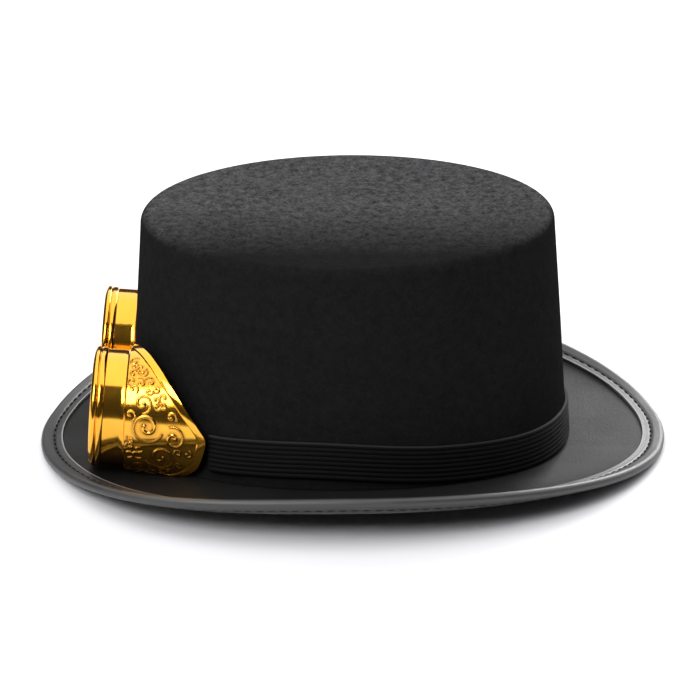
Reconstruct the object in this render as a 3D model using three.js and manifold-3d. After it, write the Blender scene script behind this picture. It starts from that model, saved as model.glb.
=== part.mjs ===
import * as THREE from 'three';
import { mergeVertices } from 'three/addons/utils/BufferGeometryUtils.js';
import Module from 'manifold-3d';

const wasm = await Module();
wasm.setup();

// Felt top hat with gilt goggles on its band. Sizes in millimetres.
// Front is -Y, the wearer's left is +X, up is +Z, the floor is z = 0.
const GAP = 0.3;

// Felt crown: half lengths along the head (long) and across it (short), on the outside,
// and how far its middle is from the brim's middle
const CROWN_BASE = { long: 102, short: 89.3 };
const CROWN_TOP = { long: 94.6, short: 82.8 };
const CROWN_HEIGHT = 113;
const CROWN_SHIFT = -1.5;
const FELT = 2;
const TOP_EDGE_RADIUS = 4.5;

// Brim: outer half lengths at the folded edge, how far the sides stand above front and back
const RIM = { long: 146, short: 124 };
const CREASE_LIFT = 8;
const RIM_CURL = 10.5;
const CURL_POWER = 4;
const FLAT_ANGLE = 12;
const LIFT_POWER = 0.9;
const FRONT_FULLNESS = 0.065;

// Folded binding over the brim's edge
const BINDING_WIDTH = 9;
const BINDING = 0.8;
const BINDING_HALF = FELT / 2 + GAP + BINDING;
const EDGE_REACH = GAP + BINDING;

// Ribbed elastic round the crown
const STRAP_WIDTH = 17;
const STRAP = 1.3;
const STRAP_RIBS = 8;
const STRAP_RIB_HEIGHT = 0.25;
const STRAP_START = 52;
const STRAP_END_LIFT = 1.1;
const STRAP_HEIGHTS = [
  { turn: 52, height: 22.5 },
  { turn: 84, height: 25.2 },
  { turn: 116, height: 20.2 },
  { turn: 148, height: 14.6 },
  { turn: 180, height: 12.6 },
];

// Goggles: lens spacing, height and tilt, then the cup's barrel and wing
const LENS_SPACING = 79;
const LENS_HEIGHT = 33;
const FRONT_Y = -118.5;
const TILT = THREE.MathUtils.degToRad(4.5);
const BARREL_RADIUS = 26.6;
const BARREL_FRONT = 6.1;
const BARREL_BACK = 15.2;
const CUP_RADIUS = 28;
const CUP_START = 16.2;
const CUP_WALL = 1.6;
const CUP_FLARE = 0.14;
const BORDER_WIDTH = 4.2;
const BORDER_HEIGHT = 0.7;
const BRIM_CLEARANCE = 0.5;

// Rear edge of a cup: around is degrees from the top toward the temple, depth is from the front rim
const CUP_EDGE = [
  { around: 0, depth: 22 },
  { around: 22.5, depth: 28 },
  { around: 45, depth: 35 },
  { around: 67.5, depth: 43.5 },
  { around: 90, depth: 53.5 },
  { around: 105, depth: 52 },
  { around: 118, depth: 50 },
  { around: 135, depth: 43 },
  { around: 150, depth: 33 },
  { around: 165, depth: 24 },
  { around: 180, depth: 17.2 },
  { around: 335, depth: 17.2 },
  { around: 360, depth: 22 },
];

// Raised scrolls on a wing: each winds in from its reach to its eye
const SCROLL_RADIUS = 0.9;
const SCROLL_DRAW_IN = 0.85;
const SCROLLS = [
  { around: 84, depth: 26, reach: 7.6, turns: 1.5, start: 20, hand: 1 },
  { around: 112, depth: 33, reach: 7.2, turns: 1.4, start: 150, hand: -1 },
  { around: 63, depth: 23.5, reach: 4.6, turns: 1.2, start: 80, hand: -1 },
  { around: 92, depth: 38.5, reach: 5.2, turns: 1.3, start: 250, hand: 1 },
  { around: 130, depth: 23.5, reach: 5.4, turns: 1.3, start: 300, hand: 1 },
];

// Stepped front bezel: depth behind the front rim and radius, once round its section
const BEZEL_SECTION = [
  { depth: 0, radius: 24.8 },
  { depth: 0, radius: 26.2 },
  { depth: 1.2, radius: 27.5 },
  { depth: 2.6, radius: 27.5 },
  { depth: 3.0, radius: 26.7 },
  { depth: 3.6, radius: 27.2 },
  { depth: 5.8, radius: 27.2 },
  { depth: 5.8, radius: 23.4 },
  { depth: 4.0, radius: 23.4 },
  { depth: 4.0, radius: 24.8 },
];
const LENS_RADIUS = 24.5;
const LENS_SECTION = [
  { depth: 1.2, share: 0 },
  { depth: 1.5, share: 0.6 },
  { depth: 2.0, share: 1 },
  { depth: 3.7, share: 1 },
  { depth: 3.7, share: 0 },
];
const BRIDGE_HALF_HEIGHT = 5;
const BRIDGE_FRONT = 8.5;
const BRIDGE_THICKNESS = 5.5;
const BRIDGE_ARCH = 2;

// Steps round each shape, and how close two corners are when they are one
const HAT_STEPS = 52;
const STRAP_STEPS = 42;
const CUP_STEPS = 36;
const LENS_STEPS = 32;
const SCROLL_STEPS = 13;
const WELD_DISTANCE = 1e-4;

const COLOURS = {
  felt: { color: 0x17171a, roughness: 0.95, metalness: 0 },
  satin: { color: 0x8f8c93, roughness: 0.5, metalness: 0 },
  elastic: { color: 0x101012, roughness: 0.8, metalness: 0 },
  gilt: { color: 0xd8912f, roughness: 0.16, metalness: 1 },
  glass: { color: 0x1b1d20, roughness: 0.08, metalness: 0 },
};

const radians = THREE.MathUtils.degToRad;
const mix = THREE.MathUtils.lerp;

// Skin over rows of points; a row of one point is a pole; closed joins the last row to the first
function skin(rows, closed) {
  const positions = [];
  const starts = [];
  for (const row of rows) {
    starts.push(positions.length / 3);
    row.forEach((point) => positions.push(point.x, point.y, point.z));
  }
  const triangles = [];
  const bands = closed ? rows.length : rows.length - 1;
  for (let r = 0; r < bands; r++) {
    const next = (r + 1) % rows.length;
    const count = Math.max(rows[r].length, rows[next].length);
    for (let k = 0; k < count; k++) {
      const a = starts[r] + (k % rows[r].length);
      const b = starts[r] + ((k + 1) % rows[r].length);
      const c = starts[next] + ((k + 1) % rows[next].length);
      const d = starts[next] + (k % rows[next].length);
      if (a !== b) {
        triangles.push(a, b, c);
      }
      if (c !== d) {
        triangles.push(a, c, d);
      }
    }
  }
  const geometry = new THREE.BufferGeometry();
  geometry.setAttribute('position', new THREE.Float32BufferAttribute(positions, 3));
  geometry.setIndex(triangles);
  return faceOut(geometry);
}

// Volume inside an indexed skin, negative when it faces inward
function signedVolume(geometry) {
  const place = geometry.attributes.position;
  const index = geometry.index;
  const corners = [new THREE.Vector3(), new THREE.Vector3(), new THREE.Vector3()];
  let volume = 0;
  for (let k = 0; k < index.count; k += 3) {
    corners.forEach((corner, c) => corner.fromBufferAttribute(place, index.getX(k + c)));
    volume += corners[0].dot(corners[1].clone().cross(corners[2])) / 6;
  }
  return volume;
}

// Turn a skin's triangles over when they face inward
function faceOut(geometry) {
  if (signedVolume(geometry) < 0) {
    const index = geometry.index;
    for (let k = 0; k < index.count; k += 3) {
      const second = index.getX(k + 1);
      index.setX(k + 1, index.getX(k + 2));
      index.setX(k + 2, second);
    }
  }
  geometry.computeVertexNormals();
  return geometry;
}

// Row of points once round the hat; turn 0 is the front and a quarter turn is the wearer's left
function ringRow(steps, pointAt) {
  return Array.from({ length: steps }, (_, k) => pointAt((2 * Math.PI * k) / steps));
}

// Share of the side's lift at a turn: none near the front and back, all at the sides
function sideShare(turn) {
  const flat = Math.sin(radians(FLAT_ANGLE)) ** 2;
  const share = Math.max(0, (Math.sin(turn) ** 2 - flat) / (1 - flat));
  return share ** LIFT_POWER;
}

// Middle surface of the brim: across is 0 at the crown's crease and 1 at the felt's edge
function brimMiddle(across, turn) {
  const long = mix(CROWN_BASE.long, RIM.long - EDGE_REACH, across);
  const short = mix(CROWN_BASE.short, RIM.short - EDGE_REACH, across);
  const lift = sideShare(turn) * (CREASE_LIFT + RIM_CURL * Math.abs(across) ** CURL_POWER);
  const full = Math.cos(turn) > 0 ? FRONT_FULLNESS * across * Math.sin(2 * turn) ** 2 : 0;
  const x = short * Math.sin(turn) * (1 + full);
  const y = CROWN_SHIFT * (1 - across) - long * Math.cos(turn);
  return new THREE.Vector3(x, y, BINDING_HALF + lift);
}

// Upward normal of the brim's middle surface
function brimNormal(across, turn) {
  const step = 0.001;
  const outward = brimMiddle(across + step, turn).sub(brimMiddle(across - step, turn));
  const along = brimMiddle(across, turn + step).sub(brimMiddle(across, turn - step));
  return outward.cross(along).normalize();
}

// Point of the brim at a height over its middle surface
function brimPoint(across, height, turn) {
  return brimMiddle(across, turn).addScaledVector(brimNormal(across, turn), height);
}

// Share across the brim at a distance out from the felt's edge; inside the edge it is negative
function acrossAt(distance, turn) {
  const stride = 0.5 * Math.sign(distance);
  const strides = Math.round(Math.abs(distance) / 0.1) / 5;
  let across = 1;
  for (let done = 0; done < strides; done++) {
    const part = Math.min(1, strides - done);
    const speed = brimMiddle(across, turn).distanceTo(brimMiddle(across - 0.01, turn)) / 0.01;
    across += (stride * part) / speed;
  }
  return across;
}

// Top of the brim's felt at the foot of the crown
function creaseTop(turn) {
  return brimMiddle(0, turn).z + FELT / 2;
}

// Point on the crown's side at a height over the floor; out is measured outward from its outer face
function crownSide(height, out, turn) {
  const rise = height / CROWN_HEIGHT;
  const long = mix(CROWN_BASE.long, CROWN_TOP.long, rise) + out;
  const short = mix(CROWN_BASE.short, CROWN_TOP.short, rise) + out;
  return new THREE.Vector3(short * Math.sin(turn), CROWN_SHIFT - long * Math.cos(turn), height);
}

// Crown: outer wall, rounded edge and flat top, then the same inside by the felt's thickness
function crownRows(inset) {
  const rows = [];
  const shoulder = CROWN_HEIGHT - TOP_EDGE_RADIUS;
  for (const rise of [0, 0.25, 0.5, 0.75]) {
    const heightAt = (turn) => mix(creaseTop(turn) + GAP, shoulder, rise);
    rows.push(ringRow(HAT_STEPS, (turn) => crownSide(heightAt(turn), -inset, turn)));
  }
  const radius = TOP_EDGE_RADIUS - inset;
  for (const bend of [0, 30, 60, 90]) {
    const drawIn = inset + radius * (1 - Math.cos(radians(bend)));
    const lift = radius * Math.sin(radians(bend));
    const level = (turn) => crownSide(shoulder, -drawIn, turn).setZ(shoulder + lift);
    rows.push(ringRow(HAT_STEPS, level));
  }
  rows.push([new THREE.Vector3(0, CROWN_SHIFT, CROWN_HEIGHT - inset)]);
  return rows;
}

function makeCrown() {
  return skin([...crownRows(0), ...crownRows(FELT).reverse()], true);
}

// Brim: rows across its top, round its edge and back across its underside
function makeBrim() {
  const half = FELT / 2;
  const inner = -FELT / (RIM.long - EDGE_REACH - CROWN_BASE.long);
  const shares = [inner, 0.2, 0.5];
  const distances = [-BINDING_WIDTH, -BINDING_WIDTH / 2, -0.6];
  const sideRows = (height) => [
    ...shares.map((share) => ringRow(HAT_STEPS, (turn) => brimPoint(share, height, turn))),
    ...distances.map((reach) => bindingRow(reach, height)),
  ];
  const edge = [0.4, -0.4].map((height) => bindingRow(0, height));
  return skin([...sideRows(half), ...edge, ...sideRows(-half).reverse()], true);
}

// Row at a distance out from the felt's edge and a height over its middle surface
function bindingRow(distance, height) {
  return ringRow(HAT_STEPS, (turn) => brimPoint(acrossAt(distance, turn), height, turn));
}

// Binding: a folded tape over the brim's edge
function makeBinding() {
  const inside = FELT / 2 + GAP;
  const fold = EDGE_REACH;
  const outer = [
    { reach: -BINDING_WIDTH, height: BINDING_HALF },
    { reach: -BINDING_WIDTH / 2, height: BINDING_HALF },
    { reach: -0.9, height: BINDING_HALF },
    { reach: fold * 0.5, height: BINDING_HALF * 0.72 },
    { reach: fold, height: BINDING_HALF * 0.3 },
  ];
  const lining = [
    { reach: GAP, height: 0.5 },
    { reach: -0.7, height: inside },
    { reach: -BINDING_WIDTH / 2, height: inside },
    { reach: -BINDING_WIDTH, height: inside },
  ];
  const rowsOf = (table, sign) => table.map((row) => bindingRow(row.reach, sign * row.height));
  const rows = [
    ...rowsOf(outer, 1),
    ...rowsOf([...outer].reverse(), -1),
    ...rowsOf([...lining].reverse(), -1),
    ...rowsOf(lining, 1),
  ];
  return skin(rows, true);
}

// Middle height of the elastic at a turn, the same on both sides of the hat
function strapHeight(turn) {
  const degrees = THREE.MathUtils.radToDeg(turn);
  const folded = degrees > 180 ? 360 - degrees : degrees;
  const curve = new THREE.SplineCurve(STRAP_HEIGHTS.map((row) => new THREE.Vector2(row.turn, row.height)));
  return curve.getPoint((folded - STRAP_START) / (180 - STRAP_START)).y;
}

// Section of the elastic at a turn: ribs outside, flat inside, lifting off the crown at its ends
function strapSection(turn) {
  const degrees = THREE.MathUtils.radToDeg(turn);
  const fromEnd = Math.min(degrees, 360 - degrees) - STRAP_START;
  const lift = GAP + STRAP_END_LIFT * (1 - THREE.MathUtils.smoothstep(fromEnd, 0, 14));
  const middle = strapHeight(turn);
  const section = [];
  const at = (share, out) => crownSide(middle + STRAP_WIDTH * (share - 0.5), lift + out, turn);
  for (let rib = 0; rib < STRAP_RIBS; rib++) {
    section.push(at((rib + 0.2) / STRAP_RIBS, STRAP));
    section.push(at((rib + 0.8) / STRAP_RIBS, STRAP - STRAP_RIB_HEIGHT));
  }
  section.push(at(1, 0), at(0, 0));
  return section;
}

// Elastic from behind one wing, round the back, to behind the other
function makeStrap() {
  const rows = [];
  for (let k = 0; k <= STRAP_STEPS; k++) {
    const degrees = mix(STRAP_START, 360 - STRAP_START, k / STRAP_STEPS);
    rows.push(strapSection(radians(degrees)));
  }
  const middleOf = (row) => row.reduce((sum, point) => sum.add(point), new THREE.Vector3());
  const cap = (row) => [middleOf(row).divideScalar(row.length)];
  return skin([cap(rows[0]), ...rows, cap(rows[STRAP_STEPS])], false);
}

// Point of a goggle: side is 1 for the wearer's left, u out from the lens, w up, depth back
function gogglePoint(side, u, w, depth) {
  const y = FRONT_Y + depth * Math.cos(TILT) + w * Math.sin(TILT);
  const z = LENS_HEIGHT + w * Math.cos(TILT) - depth * Math.sin(TILT);
  return new THREE.Vector3(side * (LENS_SPACING / 2 + u), y, z);
}

// Top of the brim under a point beside the crown
function brimTopUnder(point) {
  const along = (CROWN_SHIFT - point.y) / CROWN_BASE.long;
  const aside = Math.abs(point.x) / CROWN_BASE.short;
  const turn = Math.atan2(aside, along);
  const spread = Math.hypot(aside, along) - 1;
  const across = Math.max(0, (spread * CROWN_BASE.long) / (RIM.long - CROWN_BASE.long));
  return brimMiddle(across, turn).z + FELT / 2;
}

// Point on a cup's skin, kept clear of the brim under it
function cupPoint(side, around, depth, radius, clearance) {
  const angle = radians(around);
  const point = gogglePoint(side, radius * Math.sin(angle), radius * Math.cos(angle), depth);
  point.z = Math.max(point.z, brimTopUnder(point) + clearance);
  return point;
}

// Depth of a cup's rear edge at an angle around the lens
function cupEdge(around) {
  const next = CUP_EDGE.findIndex((row) => row.around >= around);
  if (next <= 0) {
    return CUP_EDGE[0].depth;
  }
  const low = CUP_EDGE[next - 1];
  const high = CUP_EDGE[next];
  return mix(low.depth, high.depth, (around - low.around) / (high.around - low.around));
}

// Outer radius of a cup's flaring wall
function cupRadius(depth) {
  return CUP_RADIUS + CUP_FLARE * (depth - CUP_START);
}

// One cup: round barrel, flaring wall with a smooth raised border, open behind
function cupShell(side) {
  const low = BRIM_CLEARANCE;
  const high = BRIM_CLEARANCE + CUP_WALL;
  const borderAt = (around) => Math.max(CUP_START + 0.3, cupEdge(around) - BORDER_WIDTH);
  const sections = [
    (a) => cupPoint(side, a, BARREL_FRONT, BARREL_RADIUS, low),
    (a) => cupPoint(side, a, BARREL_BACK, BARREL_RADIUS, low),
    (a) => cupPoint(side, a, CUP_START, CUP_RADIUS, low),
    (a) => cupPoint(side, a, borderAt(a), cupRadius(borderAt(a)), low),
    (a) => cupPoint(side, a, borderAt(a) + 0.4, cupRadius(borderAt(a)) + BORDER_HEIGHT, low),
    (a) => cupPoint(side, a, cupEdge(a), cupRadius(cupEdge(a)) + BORDER_HEIGHT, low),
    (a) => cupPoint(side, a, cupEdge(a), cupRadius(cupEdge(a)) - CUP_WALL, high),
    (a) => cupPoint(side, a, CUP_START, CUP_RADIUS - CUP_WALL, high),
    (a) => cupPoint(side, a, BARREL_BACK, BARREL_RADIUS - CUP_WALL, high),
    (a) => cupPoint(side, a, BARREL_FRONT, BARREL_RADIUS - CUP_WALL, high),
  ];
  const angles = Array.from({ length: CUP_STEPS }, (_, k) => (360 * k) / CUP_STEPS);
  return skin(sections.map((section) => angles.map(section)), true);
}

// One raised scroll: a small rod winding in over the wing's face
function scrollRod(side, row) {
  const path = [];
  for (let k = 0; k <= SCROLL_STEPS; k++) {
    const share = k / SCROLL_STEPS;
    const swing = radians(row.start + row.hand * 360 * row.turns * share);
    const reach = row.reach * (1 - SCROLL_DRAW_IN * share);
    const depth = row.depth + reach * Math.cos(swing);
    const around = row.around + THREE.MathUtils.radToDeg((reach * Math.sin(swing)) / CUP_RADIUS);
    path.push(cupPoint(side, around, depth, cupRadius(depth), BRIM_CLEARANCE + SCROLL_RADIUS));
  }
  const profile = new THREE.Shape();
  profile.absarc(0, 0, SCROLL_RADIUS, 0, 2 * Math.PI, false);
  return new THREE.ExtrudeGeometry(profile, {
    steps: SCROLL_STEPS,
    curveSegments: 2,
    bevelEnabled: false,
    extrudePath: new THREE.CatmullRomCurve3(path),
  });
}

// Skin with its touching corners joined, facing out, without texture coordinates
function weld(geometry) {
  const bare = new THREE.BufferGeometry();
  const loose = geometry.index ? geometry.toNonIndexed() : geometry;
  bare.setAttribute('position', loose.attributes.position.clone());
  return faceOut(mergeVertices(bare, WELD_DISTANCE));
}

// Solid for joining from a closed skin
function solidOf(geometry) {
  const welded = weld(geometry);
  return new wasm.Manifold(new wasm.Mesh({
    numProp: 3,
    vertProperties: new Float32Array(welded.attributes.position.array),
    triVerts: new Uint32Array(welded.index.array),
  }));
}

// Skin of a joined solid
function skinOf(solid) {
  const mesh = solid.getMesh();
  const geometry = new THREE.BufferGeometry();
  geometry.setAttribute('position', new THREE.Float32BufferAttribute(mesh.vertProperties, 3));
  geometry.setIndex(Array.from(mesh.triVerts));
  geometry.computeVertexNormals();
  return geometry;
}

function makeCup(side) {
  let cup = solidOf(cupShell(side));
  for (const row of SCROLLS) {
    cup = cup.add(solidOf(scrollRod(side, row)));
  }
  return skinOf(cup);
}

// Ring or disc of a goggle from its section, once round the lens
function lensTurn(side, steps, radius, depth) {
  if (radius === 0) {
    return [gogglePoint(side, 0, 0, depth)];
  }
  return ringRow(steps, (a) => gogglePoint(side, radius * Math.sin(a), radius * Math.cos(a), depth));
}

function makeBezel(side) {
  return skin(BEZEL_SECTION.map((row) => lensTurn(side, LENS_STEPS, row.radius, row.depth)), true);
}

function makeLens(side) {
  const rowOf = (row) => lensTurn(side, LENS_STEPS, row.share * LENS_RADIUS, row.depth);
  return skin(LENS_SECTION.map(rowOf), false);
}

// Nose bridge: an arched bar whose ends are hollowed to the two barrels
function makeBridge() {
  const reach = BARREL_RADIUS + GAP;
  const spread = Math.asin(BRIDGE_HALF_HEIGHT / reach);
  const end = LENS_SPACING / 2 - reach * Math.cos(spread);
  const outline = new THREE.Shape();
  outline.moveTo(-end, BRIDGE_HALF_HEIGHT);
  outline.quadraticCurveTo(0, BRIDGE_HALF_HEIGHT + BRIDGE_ARCH, end, BRIDGE_HALF_HEIGHT);
  outline.absarc(LENS_SPACING / 2, 0, reach, Math.PI - spread, Math.PI + spread, false);
  outline.quadraticCurveTo(0, BRIDGE_ARCH - BRIDGE_HALF_HEIGHT, -end, -BRIDGE_HALF_HEIGHT);
  outline.absarc(-LENS_SPACING / 2, 0, reach, -spread, spread, false);
  const bar = new THREE.ExtrudeGeometry(outline, {
    depth: BRIDGE_THICKNESS,
    curveSegments: 8,
    bevelEnabled: false,
  });
  const place = bar.attributes.position;
  for (let k = 0; k < place.count; k++) {
    const depth = BRIDGE_FRONT + place.getZ(k);
    const point = gogglePoint(1, place.getX(k) - LENS_SPACING / 2, place.getY(k), depth);
    place.setXYZ(k, point.x, point.y, point.z);
  }
  return weld(bar);
}

const hat = new THREE.Group();
hat.name = 'goggle_top_hat';

function addPiece(name, look, geometry) {
  const material = new THREE.MeshStandardMaterial(COLOURS[look]);
  material.name = look;
  const piece = new THREE.Mesh(geometry, material);
  piece.name = name;
  hat.add(piece);
}

addPiece('crown', 'felt', makeCrown());
addPiece('brim', 'felt', makeBrim());
addPiece('brim_binding', 'satin', makeBinding());
addPiece('elastic_strap', 'elastic', makeStrap());
for (const [name, side] of [['left', 1], ['right', -1]]) {
  addPiece(`goggle_cup_${name}`, 'gilt', makeCup(side));
  addPiece(`goggle_bezel_${name}`, 'gilt', makeBezel(side));
  addPiece(`goggle_lens_${name}`, 'glass', makeLens(side));
}
addPiece('nose_bridge', 'gilt', makeBridge());

export default hat;
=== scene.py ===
"""Felt top hat with gilt goggles: detailed pieces, materials and studio view."""
import math
import random
from typing import NamedTuple

import bmesh
import bpy
import numpy as np
from bpy.props import FloatProperty, FloatVectorProperty, IntProperty, PointerProperty
from mathutils import Matrix, Vector


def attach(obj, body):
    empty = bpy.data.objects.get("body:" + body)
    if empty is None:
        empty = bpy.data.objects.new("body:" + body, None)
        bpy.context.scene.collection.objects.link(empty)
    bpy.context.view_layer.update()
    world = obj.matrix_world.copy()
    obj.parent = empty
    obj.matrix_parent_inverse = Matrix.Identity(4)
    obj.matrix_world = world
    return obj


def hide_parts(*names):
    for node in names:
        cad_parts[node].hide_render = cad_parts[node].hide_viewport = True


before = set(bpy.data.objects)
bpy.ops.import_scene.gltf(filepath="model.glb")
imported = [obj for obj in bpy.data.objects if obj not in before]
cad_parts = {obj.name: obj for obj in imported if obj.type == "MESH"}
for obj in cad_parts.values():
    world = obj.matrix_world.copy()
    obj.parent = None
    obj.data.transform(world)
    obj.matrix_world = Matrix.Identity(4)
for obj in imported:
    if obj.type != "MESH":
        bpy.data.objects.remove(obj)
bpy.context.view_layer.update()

bl_info = {
    "name": "Goggle Top Hat",
    "version": (1, 0, 0),
    "blender": (4, 5, 0),
    "location": "3D View > Sidebar > Hat",
    "description": "Builds a felt top hat with gilt goggles and a studio to show it in",
    "category": "Object",
}

MM = 0.001

# Middle height of the elastic by the turn from the front, in degrees and millimetres
STRAP_HEIGHTS = {52: 22.5, 84: 25.2, 116: 20.2, 148: 14.6, 180: 12.6}

# Depth of a cup's rear edge by the angle from the top toward the temple, in degrees and millimetres
CUP_EDGE = {
    0: 22, 22.5: 28, 45: 35, 67.5: 43.5, 90: 53.5, 105: 52, 118: 50,
    135: 43, 150: 33, 165: 24, 180: 17.2, 335: 17.2, 360: 22,
}

# Depths below the crown's top where its pale nap and painted sheen start and where they are full
NAP_AND_SHEEN_DEPTHS = (2.5 * MM, 0.2 * MM)

# Places toward the wearer's left where the painted shade over the crown's top starts and where it is full
TOP_SHADE_SPAN = (-4 * MM, 63 * MM)

# Angles in degrees over which a corner of the cup's rear edge is softened
EDGE_SOFTENING = (-4, -2, 0, 2, 4)

# Space kept between a cup and the brim under it
BRIM_CLEARANCE = 0.5 * MM

# Least depth of a wing in front of its border
LEAST_WING = 0.3 * MM

# Radius in millimetres where a wing starts, at which distance round it is measured
WING_RADIUS = 28

# Raised scrolls on a wing, in degrees and millimetres: each winds in from its reach to its eye
SCROLLS = (
    {"around": 84, "depth": 26, "reach": 7.6, "turns": 1.5, "start": 20, "hand": 1},
    {"around": 112, "depth": 33, "reach": 7.2, "turns": 1.4, "start": 150, "hand": -1},
    {"around": 63, "depth": 23.5, "reach": 4.6, "turns": 1.2, "start": 80, "hand": -1},
    {"around": 92, "depth": 38.5, "reach": 5.2, "turns": 1.3, "start": 250, "hand": 1},
    {"around": 130, "depth": 23.5, "reach": 5.4, "turns": 1.3, "start": 300, "hand": 1},
)
SCROLL_DRAW_IN = 0.85
SCROLL_STEPS_IN_MM = 10

# Shares of a scroll's ridge width: the least, its growth with reach, and those of tail and eye
RIDGE_LEAST = 0.5
RIDGE_GROWTH = 0.06
RIDGE_TAPER = (0.6, 1.2)

# Small scrolls on a loose grid between the large ones, in millimetres and degrees
FINE_SEED = 5
FINE_DEPTH = {"first": 18.6, "step": 3.7, "count": 9, "stray": 0.7}
FINE_AROUND = {"first": 20, "step": 7.8, "count": 17, "stray": 1.5}
FINE_REACH = (1.8, 2.9)
FINE_TURNS = 0.8
FINE_CLEARANCE = 1.0

# Section of a bezel in millimetres: depth behind the front rim and radius
BEZEL_SECTION = (
    (0.0, 24.8), (0.0, 26.2), (1.2, 27.5), (2.6, 27.5), (3.0, 26.7),
    (3.6, 27.2), (5.8, 27.2), (5.8, 23.4), (4.0, 23.4), (4.0, 24.8),
)


def length(name, text, default):
    """A size in metres, given here in millimetres."""
    return FloatProperty(name=name, description=text, default=default * MM, unit="LENGTH", precision=4)


def angle(name, text, default):
    """An angle, given here in degrees."""
    return FloatProperty(name=name, description=text, default=math.radians(default), subtype="ANGLE")


def number(name, text, default):
    """A plain number."""
    return FloatProperty(name=name, description=text, default=default)


def greys(name, text, darkest, palest):
    """The darkest and the palest grey of a surface."""
    return FloatVectorProperty(name=name, description=text, default=(darkest, palest), size=2, precision=4)


def colour(name, text, red, green, blue):
    """A full colour."""
    default = (red, green, blue, 1.0)
    return FloatVectorProperty(name=name, description=text, default=default, size=4, subtype="COLOR")


class HatSizes(bpy.types.PropertyGroup):
    """Sizes of the felt hat and its elastic"""
    gap: length("Gap", "Space between neighbouring pieces", 0.3)
    base_long: length("Crown base, long", "Half length of the crown at the crease", 102)
    base_short: length("Crown base, short", "Half width of the crown at the crease", 89.3)
    top_long: length("Crown top, long", "Half length of the crown at the top", 94.6)
    top_short: length("Crown top, short", "Half width of the crown at the top", 82.8)
    height: length("Height", "Floor to the top of the crown", 113)
    felt: length("Felt", "Thickness of the felt", 2)
    edge_radius: length("Edge radius", "Rounding of the crown's top edge", 4.5)
    crown_shift: length("Crown shift", "Crown's middle from the brim's middle", -1.5)
    rim_long: length("Rim, long", "Half length of the brim", 146)
    rim_short: length("Rim, short", "Half width of the brim", 124)
    crease_lift: length("Crease lift", "Rise of the crease from front to side", 8)
    rim_curl: length("Rim curl", "Further rise of the brim's edge at the sides", 10.5)
    curl_power: number("Curl power", "How late the curl starts", 4)
    flat_angle: angle("Flat angle", "Turn from the front that stays flat", 12)
    lift_power: number("Lift power", "How fast the sides rise", 0.9)
    fullness: number("Front fullness", "Extra width of the front corners", 0.065)
    binding: length("Binding", "Thickness of the folded hem", 0.8)
    binding_width: length("Binding width", "Width of the hem on each face", 9)
    strap: length("Elastic", "Thickness of the elastic", 1.3)
    strap_width: length("Elastic width", "Width of the elastic", 17)
    strap_ribs: IntProperty(name="Ribs", description="Ribs along the elastic", default=8)
    stitch_line: length("Stitch line", "Stitches in from the felt's edge", 5.2)
    stitch_length: length("Stitch length", "Length of one stitch", 3.6)
    stitch_pitch: length("Stitch pitch", "Spacing of the stitches", 5.2)


class GoggleSizes(bpy.types.PropertyGroup):
    """Sizes of the goggles"""
    spacing: length("Lens spacing", "Between the middles of the lenses", 79)
    lens_height: length("Lens height", "Middle of the lenses above the floor", 33)
    front: length("Front", "Front rim from the middle of the hat", -118.5)
    tilt: angle("Tilt", "Upward tilt of the lenses", 4.5)
    barrel: length("Barrel radius", "Outer radius of the barrel", 26.6)
    barrel_front: length("Barrel front", "Barrel's front edge behind the rim", 6.1)
    barrel_back: length("Barrel back", "Barrel's back edge behind the rim", 15.2)
    cup: length("Cup radius", "Outer radius where the wing starts", WING_RADIUS)
    cup_start: length("Cup start", "Where the wing starts behind the rim", 16.2)
    wall: length("Wall", "Thickness of the moulding", 1.6)
    flare: number("Flare", "Growth of the wing's radius with depth", 0.14)
    border: length("Border", "Width of the smooth border", 4.2)
    border_height: length("Border height", "How far the border stands out", 0.7)
    relief: length("Relief", "Height of the scrolls", 0.42)
    relief_width: length("Relief width", "Half width of a scroll's ridge", 0.54)
    lens: length("Lens radius", "Radius of the lens", 24.5)
    lens_middle: length("Lens middle", "Lens's middle behind the rim", 1.2)
    lens_edge: length("Lens edge", "Lens's front edge behind the rim", 2.0)
    lens_back: length("Lens back", "Back of the lens behind the rim", 3.7)
    bridge_half: length("Bridge half height", "Half height of the nose bridge", 5)
    bridge_front: length("Bridge front", "Bridge's front face behind the rim", 8.5)
    bridge_depth: length("Bridge depth", "Thickness of the bridge", 5.5)
    bridge_arch: length("Bridge arch", "Rise of the bridge's middle", 1)
    bridge_gap: length("Bridge gap", "Space between the bridge and a barrel", 0.15)


class HatColours(bpy.types.PropertyGroup):
    """Colours of the pieces and the floor; a pair is the darkest and the palest grey"""
    crown_side: greys("Crown side", "Felt on the crown's side", 0.00748, 0.01496)
    # The crown's top is paler partly from its nap and partly from painted sheen
    crown_top_nap_and_sheen: greys("Crown top", "Nap on the crown's top", 0.01, 0.095)
    brim: greys("Brim", "Felt of the brim", 0.003, 0.012)
    hem: greys("Hem", "Satin of the hem", 0.006, 0.018)
    # Painted shade for the hem's seam and painted highlight for its edges
    hem_seam_shade_and_edge_light: greys("Hem wear", "Seam and worn edges of the hem", 0.003, 0.4)
    thread: greys("Thread", "Sewing thread", 0.0048, 0.0112)
    elastic: greys("Elastic", "Weave of the elastic", 0.002, 0.0065)
    # Painted highlight along the elastic's upper edge
    elastic_edge_highlight: number("Elastic edge", "Upper edge of the elastic", 0.03)
    gilt_deep: colour("Gilt, deep", "Deeper tone of the plating", 0.92, 0.43, 0.03)
    gilt_light: colour("Gilt, light", "Lighter tone of the plating", 0.98, 0.5, 0.05)
    gilt_hollow: colour("Gilt, hollow", "Plating in the hollows of the relief", 0.36, 0.12, 0.015)
    lens: greys("Lens", "Glass of the lens", 0.01, 0.03)
    floor: greys("Floor", "Board of the floor", 0.86, 0.9)


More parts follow.
